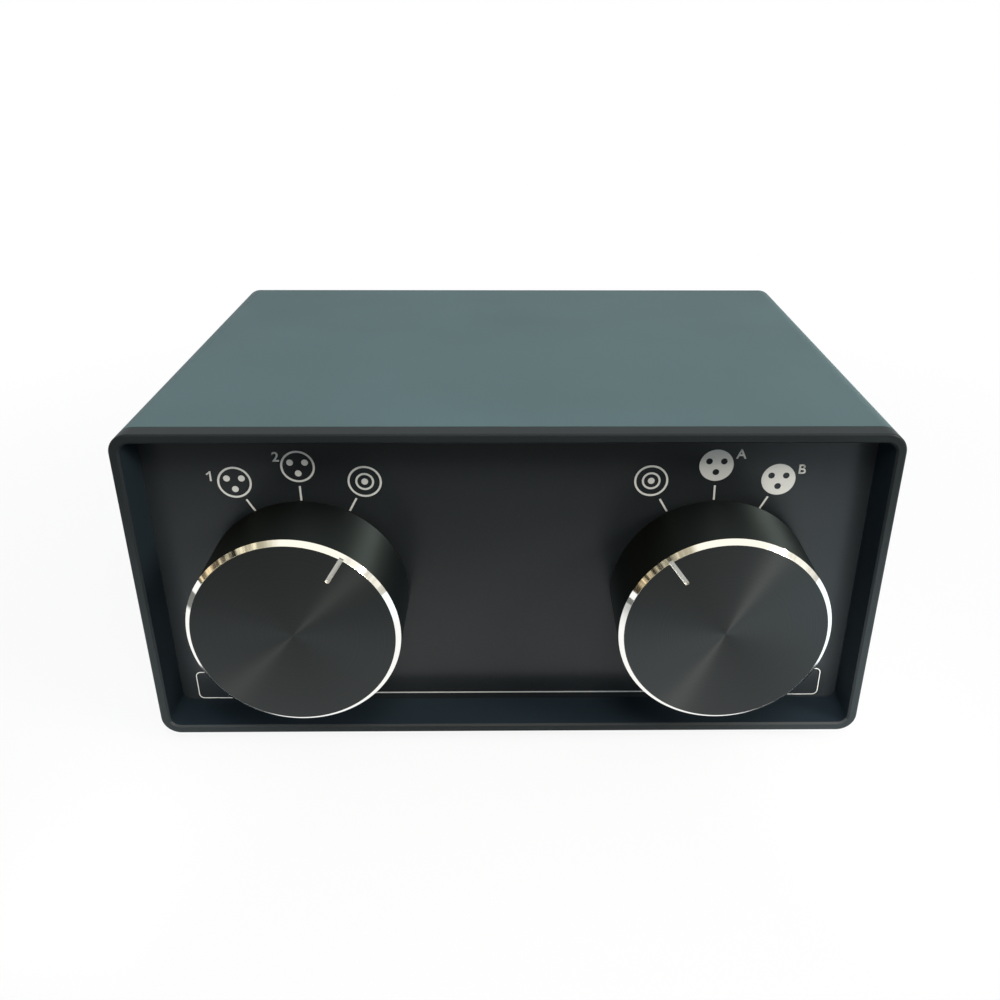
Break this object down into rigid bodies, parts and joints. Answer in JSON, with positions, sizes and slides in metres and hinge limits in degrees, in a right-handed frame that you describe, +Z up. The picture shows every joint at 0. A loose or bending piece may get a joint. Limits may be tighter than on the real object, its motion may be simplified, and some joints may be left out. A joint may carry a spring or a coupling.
{
  "type": "audio source selector",
  "caption": "Compact audio source selector: dark aluminium sleeve with a recessed front panel, large rotary selector knobs with bright bevelled edges, and audio connectors on the rear.",
  "frame": {"origin": "on the ground, under the middle of the object's bounding box", "axes": "+X to the right as seen from the front, +Y to the rear, +Z up"},
  "size_m": [0.152, 0.127, 0.075],
  "materials": {
    "case_anodised": "fine blasted, black anodised, with a bluish sheen",
    "frame_anodised": "satin black anodised",
    "panel_anodised": "satin black anodised with white print",
    "knob_anodised": "turned, black anodised, with a bright cut bevel and pointer",
    "black_screw": "black oxide",
    "rubber": "matt moulded",
    "plated_steel": "zinc plated",
    "nickel_shell": "die-cast, satin nickel plated",
    "gold_plate": "gold plated",
    "black_plastic": "moulded",
    "white_plastic": "moulded, also the colour of the print",
    "fibreglass_board": "green solder mask",
    "ribbon_sheath": "flat ribbon"
  },
  "bodies": {
    "case": {"sleeve": "case_anodised", "front_frame": "frame_anodised", "front_panel": "panel_anodised", "rear_panel": "panel_anodised", "rear_panel_screws": "black_screw", "rubber_feet": "rubber", "switch_board": "fibreglass_board", "rear_board": "fibreglass_board", "ribbon_cables": "ribbon_sheath", "ribbon_headers": "black_plastic", "ribbon_plugs": "black_plastic", "socket_inserts": "black_plastic", "socket_noses": "black_plastic", "socket_contacts": "gold_plate", "plug_inserts": "black_plastic", "plug_pins": "gold_plate", "connector_screws": "black_screw", "phono_shells": "gold_plate", "phono_insulators": "white_plastic", "phono_contacts": "gold_plate", "phono_tags": "gold_plate", "phono_nuts": "plated_steel", "input_switch_bush": "plated_steel", "input_switch_washer": "plated_steel", "input_switch_nut": "plated_steel", "input_switch_housing": "black_plastic", "input_switch_terminals": "gold_plate", "input_detent_spring": "plated_steel", "output_switch_bush": "plated_steel", "output_switch_washer": "plated_steel", "output_switch_nut": "plated_steel", "output_switch_housing": "black_plastic", "output_switch_terminals": "gold_plate", "output_detent_spring": "plated_steel", "socket_shell_1": "nickel_shell", "plug_shell_1": "nickel_shell", "socket_shell_2": "nickel_shell", "plug_shell_2": "nickel_shell", "socket_shell_3": "nickel_shell", "plug_shell_3": "nickel_shell", "socket_shell_4": "nickel_shell", "plug_shell_4": "nickel_shell"},
    "input_selector": {"input_knob": "knob_anodised", "input_grub_screw": "black_screw", "input_shaft": "plated_steel", "input_rotor": "white_plastic", "input_wipers": "gold_plate"},
    "output_selector": {"output_knob": "knob_anodised", "output_grub_screw": "black_screw", "output_shaft": "plated_steel", "output_rotor": "white_plastic", "output_wipers": "gold_plate"},
    "latch_1": {"socket_latch_1": "plated_steel"},
    "latch_2": {"socket_latch_2": "plated_steel"},
    "latch_3": {"socket_latch_3": "plated_steel"},
    "latch_4": {"socket_latch_4": "plated_steel"}
  },
  "joints": [
    {"name": "input_select", "type": "hinge", "parent": "case", "child": "input_selector", "pos_m": [-0.0424, -0.0535, 0.0366], "axis": [0, 1, 0], "range_deg": [-60, 0], "deforming": ["input_detent_spring"]},
    {"name": "output_select", "type": "hinge", "parent": "case", "child": "output_selector", "pos_m": [0.0424, -0.0535, 0.0366], "axis": [0, 1, 0], "range_deg": [0, 60], "deforming": ["output_detent_spring"]},
    {"name": "latch_1_press", "type": "slide", "parent": "case", "child": "latch_1", "axis": [0, -1, 0], "range_m": [0, 0.0012], "stiffness_N_per_m": 500},
    {"name": "latch_2_press", "type": "slide", "parent": "case", "child": "latch_2", "axis": [0, -1, 0], "range_m": [0, 0.0012], "stiffness_N_per_m": 500},
    {"name": "latch_3_press", "type": "slide", "parent": "case", "child": "latch_3", "axis": [0, -1, 0], "range_m": [0, 0.0012], "stiffness_N_per_m": 500},
    {"name": "latch_4_press", "type": "slide", "parent": "case", "child": "latch_4", "axis": [0, -1, 0], "range_m": [0, 0.0012], "stiffness_N_per_m": 500}
  ]
}
